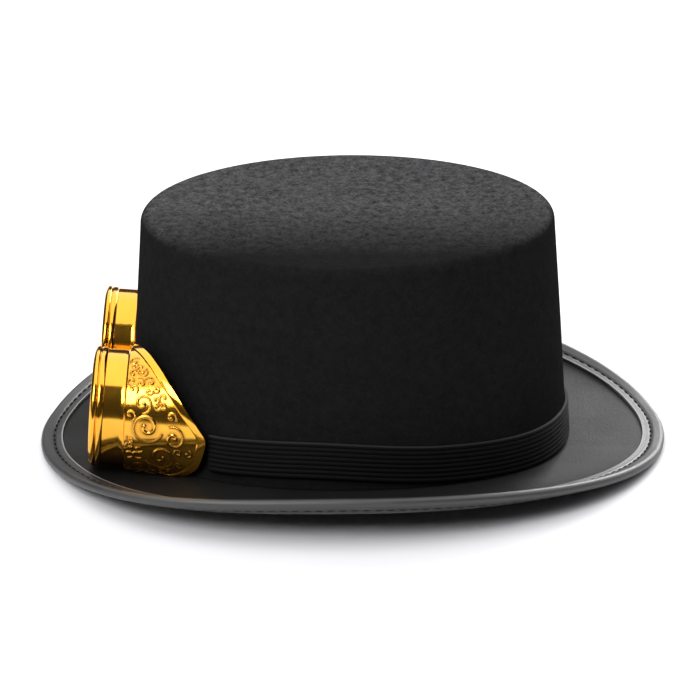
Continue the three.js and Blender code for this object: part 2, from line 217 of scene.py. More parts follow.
class StageSettings(bpy.types.PropertyGroup):
    """Camera, floor and lights"""
    camera_place: FloatVectorProperty(
        name="Camera place", description="Where the camera stands", default=(1.4775, -0.0009, 0.6217),
        subtype="TRANSLATION",
    )
    camera_elevation: angle("Camera elevation", "Downward tilt of the camera", 21.37)
    camera_roll: angle("Camera roll", "Turn of the picture", -0.48)
    lens: number("Lens", "Focal length in millimetres", 175.3)
    sky: number("Sky", "Strength of the even light", 0.045)
    floor_size: length("Floor size", "Half width of the floor", 6000)


class Wire:
    """A node's output that takes part in Python arithmetic."""

    def __init__(self, graph, socket):
        self.graph = graph
        self.socket = socket

    def __add__(self, other):
        return self.graph.math("ADD", self, other)

    def __radd__(self, other):
        return self.graph.math("ADD", other, self)

    def __sub__(self, other):
        return self.graph.math("SUBTRACT", self, other)

    def __rsub__(self, other):
        return self.graph.math("SUBTRACT", other, self)

    def __mul__(self, other):
        return self.graph.math("MULTIPLY", self, other)

    def __rmul__(self, other):
        return self.graph.math("MULTIPLY", other, self)

    def __truediv__(self, other):
        return self.graph.math("DIVIDE", self, other)

    def __rtruediv__(self, other):
        return self.graph.math("DIVIDE", other, self)

    def clamp(self):
        """The value kept between 0 and 1."""
        return self.graph.math("MINIMUM", self.graph.math("MAXIMUM", self, 0.0), 1.0)

    def ramp(self, low, high):
        """An even rise from 0 where the value is low to 1 where it is high."""
        return ((self - low) / (high - low)).clamp()

    def wave(self, pitch):
        """A sine wave over the value, once in each pitch."""
        return self.graph.math("SINE", self * (2 * math.pi / pitch))


class Graph:
    """Node tree of one material, with a Principled shader to feed."""

    def __init__(self, name, **constants):
        self.material = bpy.data.materials.new(name)
        self.material.use_nodes = True
        self.tree = self.material.node_tree
        self.shader = self.tree.nodes["Principled BSDF"]
        for key, value in constants.items():
            self.shader.inputs[key.replace("_", " ")].default_value = value

    def add(self, kind, settings, sockets, output=0):
        """A node of any type, with its settings and its sockets' values or wires."""
        node = self.tree.nodes.new(kind)
        for key, value in settings.items():
            setattr(node, key, value)
        for key, value in sockets.items():
            if isinstance(value, Wire):
                self.tree.links.new(value.socket, node.inputs[key])
            else:
                node.inputs[key].default_value = value
        return Wire(self, node.outputs[output])

    def math(self, operation, *values):
        """A Math node over the values."""
        return self.add("ShaderNodeMath", {"operation": operation}, dict(enumerate(values)))

    def mix(self, share, low, high):
        """A colour between two colours, the share kept between 0 and 1."""
        sockets = {"Factor": share, 6: low, 7: high}
        return self.add("ShaderNodeMix", {"data_type": "RGBA", "clamp_factor": True}, sockets, 2)

    def shade(self, share, pair):
        """A grey between the darkest and the palest of a pair."""
        darkest, palest = pair
        return self.mix(share, grey(darkest), grey(palest))

    def place(self, output="Object"):
        """Coordinates in metres in the hat's frame, or along a piece for UV."""
        return self.add("ShaderNodeTexCoord", {}, {}, output)

    def part(self, vector, axis):
        """One axis of a vector."""
        return self.add("ShaderNodeSeparateXYZ", {}, {0: vector}, axis)

    def noise(self, vector, size, detail=3.0, rough=0.55):
        """Noise whose features are about the given size in metres."""
        sockets = {"Vector": vector, "Scale": 1 / size, "Detail": detail, "Roughness": rough}
        return self.add("ShaderNodeTexNoise", {}, sockets)

    def attribute(self, name):
        """A number kept on the mesh's points."""
        return self.add("ShaderNodeAttribute", {"attribute_name": name}, {}, "Fac")

    def feed(self, **wires):
        """Wires into the shader's own sockets."""
        for key, wire in wires.items():
            self.tree.links.new(wire.socket, self.shader.inputs[key.replace("_", " ")])

    def bump(self, height, depth, strength):
        """A Bump from a height, feeding the shader's Normal."""
        sockets = {"Height": height, "Distance": depth, "Strength": strength}
        self.feed(Normal=self.add("ShaderNodeBump", {}, sockets))


def grey(value):
    """A neutral colour, very slightly cool."""
    return (value, value, value * 1.03, 1.0)


def felt_material(name, colours, height):
    """Pressed felt: short fibres, a pale top that is nap with painted sheen, and painted shade over the top
    toward the wearer's left.
    """
    graph = Graph(
        name, Specular_IOR_Level=0.0, Sheen_Weight=0.008, Sheen_Roughness=0.5,
        Sheen_Tint=(0.55, 0.56, 0.6, 1.0),
    )
    place = graph.place()
    fibre = graph.noise(place, 1.3 * MM, detail=5.0, rough=0.75)
    clump = graph.noise(place, 4.2 * MM, detail=4.0, rough=0.7)
    patch = graph.noise(place, 30 * MM, detail=2.0)
    nap = (fibre * 0.55 + clump * 0.45 - 0.4) * 5.0
    # Paler top: the felt's nap, with painted sheen over it
    upper = graph.part(place, 2).ramp(*(height - depth for depth in NAP_AND_SHEEN_DEPTHS))
    # Painted shade: the top darkens toward the wearer's left, back to the side's felt
    painted_top_shade = graph.part(place, 0).ramp(*TOP_SHADE_SPAN)
    pale_nap_and_sheen = graph.shade(nap * 0.75 + patch * 0.25, colours.crown_top_nap_and_sheen)
    dark = graph.shade(nap * 0.6 + patch * 0.4, colours.crown_side)
    graph.feed(
        Base_Color=graph.mix(upper * (1.0 - painted_top_shade), dark, pale_nap_and_sheen),
        Roughness=0.88 + patch * 0.1,
    )
    graph.bump(fibre + clump, 0.5 * MM, 0.55)
    return graph.material


def brim_material(name, colours):
    """Smoother pressed felt with a satin sheen."""
    graph = Graph(name, Specular_IOR_Level=0.24, Sheen_Weight=0.02, Sheen_Roughness=0.35)
    place = graph.place()
    fibre = graph.noise(place, 1.2 * MM, detail=4.0, rough=0.65)
    patch = graph.noise(place, 25 * MM, detail=2.0)
    graph.feed(
        Base_Color=graph.shade(fibre * 0.7 + patch * 0.3, colours.brim),
        Roughness=0.3 + patch * 0.3 + fibre * 0.1,
    )
    graph.bump(fibre + patch * 0.6, 0.35 * MM, 0.4)
    return graph.material


def hem_material(name, colours):
    """Grey satin hem: fine slanting twill, painted shade along the seam and painted highlights on its edges.
    """
    graph = Graph(name, Specular_IOR_Level=0.9, Sheen_Weight=0.04, Sheen_Roughness=0.3)
    along = graph.place("UV")
    run = graph.part(along, 0)
    across = graph.part(along, 1)
    twill = (run + across).wave(0.9 * MM) * 0.5 + 0.5
    patch = graph.noise(graph.place(), 12 * MM)
    # Painted light: the paler edges are painted highlights and the darker seam is painted shade
    edge_light_and_seam_shade = graph.attribute("painted_light")
    seam_shade_grey, edge_highlight_grey = colours.hem_seam_shade_and_edge_light
    satin = graph.shade(patch * 0.8 + twill * 0.2, colours.hem)
    seam = graph.mix(edge_light_and_seam_shade * -1.0, satin, grey(seam_shade_grey))
    graph.feed(
        Base_Color=graph.mix(edge_light_and_seam_shade * (0.5 + patch), seam, grey(edge_highlight_grey)),
        Roughness=0.36 + patch * 0.14,
    )
    graph.bump(twill * 0.6 + patch, 0.2 * MM, 0.45)
    return graph.material


def thread_material(name, colours):
    """Twisted sewing thread."""
    graph = Graph(name, Specular_IOR_Level=0.1)
    strand = graph.noise(graph.place(), 0.4 * MM, detail=2.0)
    graph.feed(Base_Color=graph.shade(strand, colours.thread), Roughness=0.7 + strand * 0.2)
    graph.bump(strand, 0.1 * MM, 0.5)
    return graph.material


def elastic_material(name, colours, rib):
    """Black elastic: fine cross weave, two rows to a rib, and a painted highlight along its upper edge."""
    graph = Graph(name, Specular_IOR_Level=0.12)
    along = graph.place("UV")
    weave = graph.part(along, 0).wave(1.1 * MM) * graph.part(along, 1).wave(rib / 2)
    dust = graph.noise(graph.place(), 4 * MM)
    # Painted highlight: the upper edge is paler
    edge = graph.attribute("painted_light")
    black = graph.shade(weave * 0.25 + dust * 0.75, colours.elastic)
    graph.feed(
        Base_Color=graph.mix(edge * 0.7, black, grey(colours.elastic_edge_highlight)),
        Roughness=0.6 + dust * 0.2,
    )
    graph.bump(weave * 0.5 + dust * 0.4, 0.2 * MM, 0.6)
    return graph.material


def gilt_material(name, colours):
    """Bright gold plating, browner in the hollows of the relief, with a faint ripple."""
    graph = Graph(name, Metallic=1.0, Coat_Weight=0.35, Coat_Roughness=0.04)
    place = graph.place()
    ripple = graph.noise(place, 12 * MM, detail=2.0)
    grain = graph.noise(place, 1.2 * MM, detail=2.0)
    hollow = (graph.attribute("relief") * -1.0).clamp()
    bright = graph.mix(ripple, colours.gilt_deep, colours.gilt_light)
    graph.feed(
        Base_Color=graph.mix(hollow, bright, colours.gilt_hollow),
        Roughness=0.09 + ripple * 0.06 + grain * 0.03 + hollow * 0.1,
    )
    graph.bump(ripple + grain * 0.04, 0.6 * MM, 0.22)
    return graph.material


def glass_material(name, colours):
    """Dark glossy lens with faint smears."""
    graph = Graph(name, Coat_Weight=0.6, Coat_Roughness=0.03, Specular_IOR_Level=0.6)
    sockets = {0: graph.place(), 1: (1.0, 1.0, 0.3)}
    tall = graph.add("ShaderNodeVectorMath", {"operation": "MULTIPLY"}, sockets)
    smear = graph.noise(tall, 10 * MM)
    graph.feed(Base_Color=graph.shade(smear, colours.lens), Roughness=0.05 + smear * 0.08)
    graph.bump(smear, 0.1 * MM, 0.1)
    return graph.material


def floor_material(name, colours):
    """Plain pale board."""
    graph = Graph(name, Specular_IOR_Level=0.2)
    speck = graph.noise(graph.place(), 50 * MM, detail=2.0)
    graph.feed(Base_Color=graph.shade(speck, colours.floor), Roughness=0.6 + speck * 0.1)
    return graph.material


def lerp(low, high, share):
    """A value between two values."""
    return low + (high - low) * share


def smooth_step(value, low, high):
    """A smooth rise from 0 at low to 1 at high."""
    share = min(1.0, max(0.0, (value - low) / (high - low)))
    return share * share * (3 - 2 * share)


def smooth_table(table, at):
    """A smooth curve through a table of evenly spaced values."""
    keys = sorted(table)
    values = [table[key] for key in keys]
    last = len(keys) - 1
    place = min(last, max(0.0, (at - keys[0]) / (keys[1] - keys[0])))
    k = min(last - 1, int(place))
    share = place - k
    low = values[k]
    high = values[k + 1]
    slope_low = (high - values[max(0, k - 1)]) / 2
    slope_high = (values[min(last, k + 2)] - low) / 2
    curve = slope_low * share * (1 - share) ** 2 - slope_high * share ** 2 * (1 - share)
    return lerp(low, high, smooth_step(share, 0.0, 1.0)) + curve


def turns(count):
    """Angles once round the hat, from the front toward the wearer's left."""
    return [2 * math.pi * k / count for k in range(count)]


def grid_object(name, rows, material, closed_rows=True, closed_columns=True, uv=None, marks=None):
    """A mesh over rows of points, with UVs in metres and named numbers on its points."""
    count = len(rows[0])
    points = [tuple(point) for row in rows for point in row]
    faces = []
    row_steps = len(rows) if closed_rows else len(rows) - 1
    column_steps = count if closed_columns else count - 1
    for r in range(row_steps):
        low = r * count
        high = ((r + 1) % len(rows)) * count
        for k in range(column_steps):
            after = (k + 1) % count
            faces.append((low + k, low + after, high + after, high + k))
    mesh = bpy.data.meshes.new(name)
    mesh.from_pydata(points, [], faces)
    if uv is not None:
        layer = mesh.uv_layers.new(name="UVMap")
        for loop in mesh.loops:
            layer.data[loop.index].uv = uv[loop.vertex_index]
    for mark, values in (marks or {}).items():
        store = mesh.attributes.new(mark, "FLOAT", "POINT")
        store.data.foreach_set("value", np.asarray(values, dtype=np.float32))
    return finish_mesh(name, mesh, material)


def finish_mesh(name, mesh, material):
    """An object from a mesh: doubles welded, faces outward, smooth with sharp corners kept."""
    weld_distance = 1e-6
    sharp_angle = math.radians(48)
    work = bmesh.new()
    work.from_mesh(mesh)
    bmesh.ops.remove_doubles(work, verts=work.verts, dist=weld_distance)
    bmesh.ops.recalc_face_normals(work, faces=work.faces)
    work.to_mesh(mesh)
    work.free()
    mesh.shade_smooth()
    mesh.set_sharp_from_angle(angle=sharp_angle)
    mesh.materials.append(material)
    piece = bpy.data.objects.new(name, mesh)
    bpy.context.scene.collection.objects.link(piece)
    return piece


def settle(piece, slot, *nodes):
    """The piece rides with the hat and stands for its nodes; the slot is not used."""
    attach(piece, "root")
    if nodes:
        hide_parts(*nodes)


class Hat:
    """Surfaces of the felt hat, in metres."""

    def __init__(self, sizes):
        self.s = sizes
        self.reach = sizes.gap + sizes.binding
        self.half = sizes.felt / 2 + sizes.gap + sizes.binding

    def side_share(self, turn):
        """Share of the side's lift: none at front and back, all at the sides."""
        flat = math.sin(self.s.flat_angle) ** 2
        share = max(0.0, (math.sin(turn) ** 2 - flat) / (1 - flat))
        return share ** self.s.lift_power

    def brim_middle(self, across, turn):
        """Middle of the brim's felt: across is 0 at the crease and 1 at the felt's edge."""
        s = self.s
        long = lerp(s.base_long, s.rim_long - self.reach, across)
        short = lerp(s.base_short, s.rim_short - self.reach, across)
        lift = self.side_share(turn) * (s.crease_lift + s.rim_curl * abs(across) ** s.curl_power)
        full = s.fullness * across * math.sin(2 * turn) ** 2 if math.cos(turn) > 0 else 0.0
        x = short * math.sin(turn) * (1 + full)
        y = s.crown_shift * (1 - across) - long * math.cos(turn)
        return Vector((x, y, self.half + lift))

    def brim_normal(self, across, turn):
        """Upward normal of the brim."""
        step = 0.001
        outward = self.brim_middle(across + step, turn) - self.brim_middle(across - step, turn)
        along = self.brim_middle(across, turn + step) - self.brim_middle(across, turn - step)
        return outward.cross(along).normalized()

    def brim_point(self, across, height, turn):
        """A point over the brim's middle surface."""
        return self.brim_middle(across, turn) + self.brim_normal(across, turn) * height

    def across_at(self, distance, turn):
        """Share across the brim at a distance out from the felt's edge, walked in short strides."""
        stride = 0.5 * MM
        near = 0.01
        tiny = 1e-7
        left = abs(distance)
        across = 1.0
        while left > tiny:
            step = min(stride, left)
            ahead = self.brim_middle(across, turn) - self.brim_middle(across - near, turn)
            across += math.copysign(step, distance) * near / ahead.length
            left -= step
        return across

    def crease_top(self, turn):
        """Top of the brim at the foot of the crown."""
        return self.brim_middle(0.0, turn).z + self.s.felt / 2

    def crown_side(self, height, out, turn):
        """A point on the crown's side, out from its outer face."""
        s = self.s
        rise = height / s.height
        long = lerp(s.base_long, s.top_long, rise) + out
        short = lerp(s.base_short, s.top_short, rise) + out
        return Vector((short * math.sin(turn), s.crown_shift - long * math.cos(turn), height))

    def strap_height(self, turn):
        """Middle height of the elastic."""
        degrees = math.degrees(turn)
        folded = 360 - degrees if degrees > 180 else degrees
        return smooth_table(STRAP_HEIGHTS, folded) * MM


class HAT_OT_felt(bpy.types.Operator):
    """Build the felt crown and brim"""
    bl_idname = "hat.felt"
    bl_label = "Felt crown and brim"

    columns = 208
    wall_rows = 20
    edge_rows = 10
    top_rows = 24
    brim_rows = 24
    brim_end = 0.995

    # Unevenness of the wall: height, waves round the hat, their start and their drift by row
    wall_waver = 0.35 * MM
    wall_waves = (3, 5)
    wall_start = 0.7
    wall_drift = 0.15

    # Unevenness of the top: height, waves in radians a metre, their starts, and its fade at the edge
    top_waver = 0.3 * MM
    top_waves = (61, 47)
    top_starts = (1.0, 0.4)
    top_fade = 0.3

    def execute(self, context):
        hat = Hat(context.scene.hat_sizes)
        colours = context.scene.hat_colours
        s = hat.s
        rows = self.crown_rows(hat, 0.0) + self.crown_rows(hat, s.felt)[::-1]
        crown = grid_object("felt_crown", rows, felt_material("crown_felt", colours, s.height))
        settle(crown, "felt", "crown")
        inside = -s.felt / (s.rim_long - hat.reach - s.base_long)
        shares = [lerp(inside, self.brim_end, k / self.brim_rows) for k in range(self.brim_rows + 1)]
        top = [(across, s.felt / 2) for across in shares]
        under = [(across, -s.felt / 2) for across in reversed(shares)]
        rows = [[hat.brim_point(*place, turn) for turn in turns(self.columns)] for place in top + under]
        brim = grid_object("felt_brim", rows, brim_material("brim_felt", colours))
        settle(brim, "felt", "brim")
        return {"FINISHED"}

    def crown_rows(self, hat, inset):
        """Rows up the wall, round the top edge and in over the top."""
        s = hat.s
        shoulder = s.height - s.edge_radius
        rows = [self.wall_row(hat, k, shoulder, inset) for k in range(self.wall_rows)]
        radius = s.edge_radius - inset
        for k in range(self.edge_rows + 1):
            bend = math.radians(90 * k / self.edge_rows)
            out = -inset - radius * (1 - math.cos(bend))
            row = [hat.crown_side(shoulder, out, turn) for turn in turns(self.columns)]
            for point in row:
                point.z = shoulder + radius * math.sin(bend)
            rows.append(row)
        rim = rows[-1]
        for k in range(1, self.top_rows + 1):
            share = 1 - k / self.top_rows
            rows.append([self.top_point(hat, point, share, s.height - inset) for point in rim])
        return rows

    def wall_row(self, hat, k, shoulder, inset):
        """One row of the wall, wavering a little between its foot and its shoulder."""
        fade = math.sin(math.pi * k / self.wall_rows)
        slow, quick = self.wall_waves
        row = []
        for turn in turns(self.columns):
            height = lerp(hat.crease_top(turn) + hat.s.gap, shoulder, k / self.wall_rows)
            soft = self.wall_waver * fade * math.sin(slow * turn + self.wall_start)
            soft *= math.sin(quick * turn + k * self.wall_drift)
            row.append(hat.crown_side(height, soft - inset, turn))
        return row

    def top_point(self, hat, point, share, level):
        """A point of the flat top, with a faint unevenness away from its edge."""
        x = point.x * share
        y = lerp(hat.s.crown_shift, point.y, share)
        across, along = self.top_waves
        start_across, start_along = self.top_starts
        wave = math.sin(x * across + start_across) * math.sin(y * along + start_along) * self.top_waver
        return Vector((x, y, level - abs(wave) * smooth_step(1 - share, 0.0, self.top_fade)))


class HAT_OT_hem(bpy.types.Operator):
    """Build the folded hem and its stitches"""
    bl_idname = "hat.hem"
    bl_label = "Hem and stitches"

    columns = 312
    face_steps = 27
    fold_steps = 8
    fold_start = -0.9 * MM
    lining_end = -0.7 * MM
    lining_gap = 0.4
    valley_depth = 0.5 * MM
    valley_width = 0.9 * MM

    # Loose inner edge: height, and distances from that edge where it starts to lift and is full
    lip_height = 0.25 * MM
    lip_run = (2 * MM, 0.5 * MM)

    # Painted highlights on the edges: width of the inner one, start and full place of the outer one, and its
    # share of the highlight
    inner_highlight_width = 0.9 * MM
    outer_highlight_span = (-0.4 * MM, 0.6 * MM)
    outer_highlight_share = 0.03

    # Puckers round the hem's faces, which lie above a share of its half thickness
    pucker_height = 0.08 * MM
    puckers = 158
    face_share = 0.8

    # Stitches: steps of the walk round the hem, and one stitch's shape and depth in the valley
    stitch_seed = 7
    stitch_walk = 2400
    stitch_half_width = 0.5 * MM
    stitch_half_height = 0.26 * MM
    stitch_spread = (0.85, 1.1)
    stitch_sink = 0.27 * MM
    stitch_turn = 0.002

    def execute(self, context):
        hat = Hat(context.scene.hat_sizes)
        colours = context.scene.hat_colours
        section = self.section(hat)
        rim_length = math.pi * (hat.s.rim_long + hat.s.rim_short)
        rows = []
        uv = []
        painted_light = []
        run_across = 0.0
        last = section[0]
        for distance, height in section:
            run_across += math.dist((distance, height), last)
            last = (distance, height)
            on_face = abs(height) > hat.half * self.face_share
            row = []
            for turn in turns(self.columns):
                pucker = self.pucker_height * math.sin(turn * self.puckers) if on_face else 0.0
                across = hat.across_at(distance, turn)
                row.append(hat.brim_point(across, height + math.copysign(pucker, height), turn))
                uv.append((turn / (2 * math.pi) * rim_length, run_across))
            rows.append(row)
            # Painted highlights on the edges and painted shade in the seam, kept on the points
            painted_light += [self.edge_light_and_seam_shade(hat, distance)] * self.columns
        satin = hem_material("hem_satin", colours)
        hem = grid_object("hem", rows, satin, uv=uv, marks={"painted_light": painted_light})
        settle(hem, "satin", "brim_binding")
        thread = thread_material("hem_thread", colours)
        for name, side in (("upper", 1), ("under", -1)):
            stitches = self.stitch_row(hat, f"hem_stitches_{name}", side, thread)
            settle(stitches, "satin")
        return {"FINISHED"}

    def section(self, hat):
        """Distances out from the felt's edge and heights, once round the hem's section."""
        s = hat.s
        width = s.binding_width
        start = self.fold_start
        distances = [lerp(-width, start, k / self.face_steps) for k in range(self.face_steps + 1)]
        upper = [(d, self.face_height(hat, d)) for d in distances]
        fold = []
        for k in range(1, self.fold_steps):
            bend = math.pi * k / self.fold_steps
            fold.append((start + (hat.reach - start) * math.sin(bend), hat.half * math.cos(bend)))
        lower = [(d, -min(hat.half, self.face_height(hat, d))) for d in distances[::-1]]
        inside = s.felt / 2 + s.gap * self.lining_gap
        end = self.lining_end
        back = [(-width, -inside), (end, -inside), (end, inside), (-width, inside)]
        return upper + fold + lower + back

    def seam(self, hat, distance):
        """How far the stitches draw the hem in at a distance from the felt's edge, up to 1."""
        return math.exp(-(((distance + hat.s.stitch_line) / self.valley_width) ** 2))

    def face_height(self, hat, distance):
        """Height of the hem over the felt: a valley at the stitches and a loose inner edge."""
        width = hat.s.binding_width
        lip = self.lip_height * smooth_step(-distance, *(width - run for run in self.lip_run))
        return hat.half - self.valley_depth * self.seam(hat, distance) + lip

    def edge_light_and_seam_shade(self, hat, distance):
        """Painted light on the hem: above 0 for the painted highlights on its edges and below 0 for the
        painted shade in its seam.
        """
        width = hat.s.binding_width
        inner_edge = smooth_step(-distance, width - self.inner_highlight_width, width)
        outer_edge = smooth_step(distance, *self.outer_highlight_span)
        return max(inner_edge, self.outer_highlight_share * outer_edge) - self.seam(hat, distance)

    def stitch_row(self, hat, name, side, thread):
        """Small rounded stitches in a line round the hem."""
        s = hat.s
        rng = random.Random(self.stitch_seed)
        work = bmesh.new()
        run = 0.0
        last = None
        for turn in turns(self.stitch_walk):
            point = hat.brim_point(hat.across_at(-s.stitch_line, turn), 0.0, turn)
            if last is not None:
                run += (point - last).length
            last = point
            if run >= s.stitch_pitch:
                run -= s.stitch_pitch
                self.stitch(work, hat, turn, side, rng)
        mesh = bpy.data.meshes.new(name)
        work.to_mesh(mesh)
        work.free()
        return finish_mesh(name, mesh, thread)

    def stitch(self, work, hat, turn, side, rng):
        """One stitch lying along the hem."""
        across = hat.across_at(-hat.s.stitch_line, turn)
        rise = side * (hat.half - self.stitch_sink)
        middle = hat.brim_point(across, rise, turn)
        ahead = hat.brim_point(across, rise, turn + self.stitch_turn)
        along = (ahead - middle).normalized()
        up = hat.brim_normal(across, turn) * side
        axes = Matrix((along, up.cross(along), up)).transposed().to_4x4()
        half_height = self.stitch_half_height * rng.uniform(*self.stitch_spread)
        size = Matrix.Diagonal((hat.s.stitch_length / 2, self.stitch_half_width, half_height, 1.0))
        place = Matrix.Translation(middle) @ axes @ size
        bmesh.ops.create_uvsphere(work, u_segments=8, v_segments=6, radius=1.0, matrix=place)


class HAT_OT_elastic(bpy.types.Operator):
    """Build the ribbed elastic round the crown"""
    bl_idname = "hat.elastic"
    bl_label = "Ribbed elastic"

    columns = 320
    steps_in_rib = 8
    rib_share = 0.38
    rib_roundness = 0.6
    start = min(STRAP_HEIGHTS)
    end_lift = 1.1 * MM
    end_run = 14.0
    # Where the painted highlight on the upper edge starts and where it is full
    highlight_edge_span = (0.955, 0.99)

    def execute(self, context):
        hat = Hat(context.scene.hat_sizes)
        s = hat.s
        steps = s.strap_ribs * self.steps_in_rib
        rows = []
        uv = []
        painted_light = []
        run = 0.0
        for k in range(self.columns + 1):
            row = self.section(hat, lerp(self.start, 360 - self.start, k / self.columns), steps)
            if rows:
                run += (row[0] - rows[-1][0]).length
            rows.append(row)
            for j in range(len(row)):
                uv.append((run, s.strap_width * min(1.0, j / steps)))
                painted_light.append(smooth_step(j / steps, *self.highlight_edge_span) if j <= steps else 0.0)
        weave = elastic_material("elastic_weave", context.scene.hat_colours, s.strap_width / s.strap_ribs)
        strap = grid_object("elastic", rows, weave, closed_rows=False, uv=uv, marks={"painted_light": painted_light})
        self.cap_ends(strap)
        settle(strap, "elastic", "elastic_strap")
        return {"FINISHED"}

    def section(self, hat, degrees, steps):
        """Section at a turn: ribs outside, flat inside, lifting off the crown at its ends."""
        s = hat.s
        turn = math.radians(degrees)
        from_end = min(degrees, 360 - degrees) - self.start
        lift = s.gap + self.end_lift * (1 - smooth_step(from_end, 0.0, self.end_run))
        middle = hat.strap_height(turn)
        row = []
        for j in range(steps + 1):
            share = j / steps
            rib = abs(math.sin(math.pi * share * s.strap_ribs)) ** self.rib_roundness
            out = lift + s.strap * (1 - self.rib_share) + s.strap * self.rib_share * rib
            row.append(hat.crown_side(middle + s.strap_width * (share - 0.5), out, turn))
        for edge in (0.5, -0.5):
            row.append(hat.crown_side(middle + s.strap_width * edge, lift, turn))
        return row

    def cap_ends(self, strap):
        """Close the two cut ends."""
        work = bmesh.new()
        work.from_mesh(strap.data)
        open_edges = [edge for edge in work.edges if edge.is_boundary]
        bmesh.ops.holes_fill(work, edges=open_edges, sides=0)
        work.to_mesh(strap.data)
        work.free()


class Goggle:
    """Surfaces of one side of the goggles, in metres; side is 1 for the wearer's left."""

    def __init__(self, context, side):
        self.g = context.scene.goggle_sizes
        self.hat = Hat(context.scene.hat_sizes)
        self.side = side

    def point(self, u, w, depth):
        """A point by its offset out from the lens, up, and back from the front rim."""
        g = self.g
        y = g.front + depth * math.cos(g.tilt) + w * math.sin(g.tilt)
        z = g.lens_height + w * math.cos(g.tilt) - depth * math.sin(g.tilt)
        return Vector((self.side * (g.spacing / 2 + u), y, z))

    def round_point(self, around, depth, radius, clearance):
        """A point round the lens, kept clear of the brim under it."""
        point = self.point(radius * math.sin(around), radius * math.cos(around), depth)
        point.z = max(point.z, self.brim_under(point) + clearance)
        return point

    def brim_under(self, point):
        """Top of the brim under a point beside the crown."""
        s = self.hat.s
        along = (s.crown_shift - point.y) / s.base_long
        aside = abs(point.x) / s.base_short
        turn = math.atan2(aside, along)
        spread = math.hypot(aside, along) - 1
        across = max(0.0, spread * s.base_long / (s.rim_long - s.base_long))
        return self.hat.brim_middle(across, turn).z + s.felt / 2

    def wall_radius(self, depth):
        """Outer radius of the flaring wing."""
        return self.g.cup + self.g.flare * (depth - self.g.cup_start)

    def border(self, around):
        """Depth where the smooth border starts, at angles round the lens."""
        return np.maximum(self.g.cup_start + LEAST_WING, cup_edge(around) - self.g.border)


def cup_edge(around):
    """Depth of a cup's rear edge at angles round the lens, its corners softened."""
    keys = sorted(CUP_EDGE)
    depths = [CUP_EDGE[key] for key in keys]
    near = [np.interp((np.degrees(around) + step) % 360, keys, depths) for step in EDGE_SOFTENING]
    return np.mean(near, axis=0) * MM


def fine_scrolls(border):
    """Small scrolls that fill the wing between the large ones, inside the border."""
    rng = random.Random(FINE_SEED)

    def loose(grid, k):
        """A place on the grid, a little astray."""
        return grid["first"] + grid["step"] * k + rng.uniform(-grid["stray"], grid["stray"])

    rows = []
    for step_depth in range(FINE_DEPTH["count"]):
        for step_around in range(FINE_AROUND["count"]):
            depth = loose(FINE_DEPTH, step_depth)
            around = loose(FINE_AROUND, step_around)
            reach = rng.uniform(*FINE_REACH)
            clear = depth < (cup_edge(math.radians(around)) - border) / MM - reach
            for large in SCROLLS:
                aside = math.radians(around - large["around"]) * WING_RADIUS
                between = math.hypot(aside, depth - large["depth"])
                clear = clear and between > large["reach"] + FINE_CLEARANCE
            if clear:
                hand = rng.choice((-1, 1))
                start = rng.uniform(0, 360)
                rows.append({
                    "around": around, "depth": depth, "reach": reach,
                    "turns": FINE_TURNS, "start": start, "hand": hand,
                })
    return rows


def scroll_points(border):
    """Points along every scroll in millimetres: distance round the wing, depth and ridge width share."""
    points = []
    for row in (*SCROLLS, *fine_scrolls(border)):
        thick = RIDGE_LEAST + RIDGE_GROWTH * row["reach"]
        steps = int(SCROLL_STEPS_IN_MM * row["reach"])
        for k in range(steps + 1):
            share = k / steps
            swing = math.radians(row["start"] + row["hand"] * 360 * row["turns"] * share)
            reach = row["reach"] * (1 - SCROLL_DRAW_IN * share)
            round_wing = math.radians(row["around"]) * WING_RADIUS + reach * math.sin(swing)
            depth = row["depth"] + reach * math.cos(swing)
            points.append((round_wing, depth, thick * lerp(*RIDGE_TAPER, share)))
    return np.array(points)


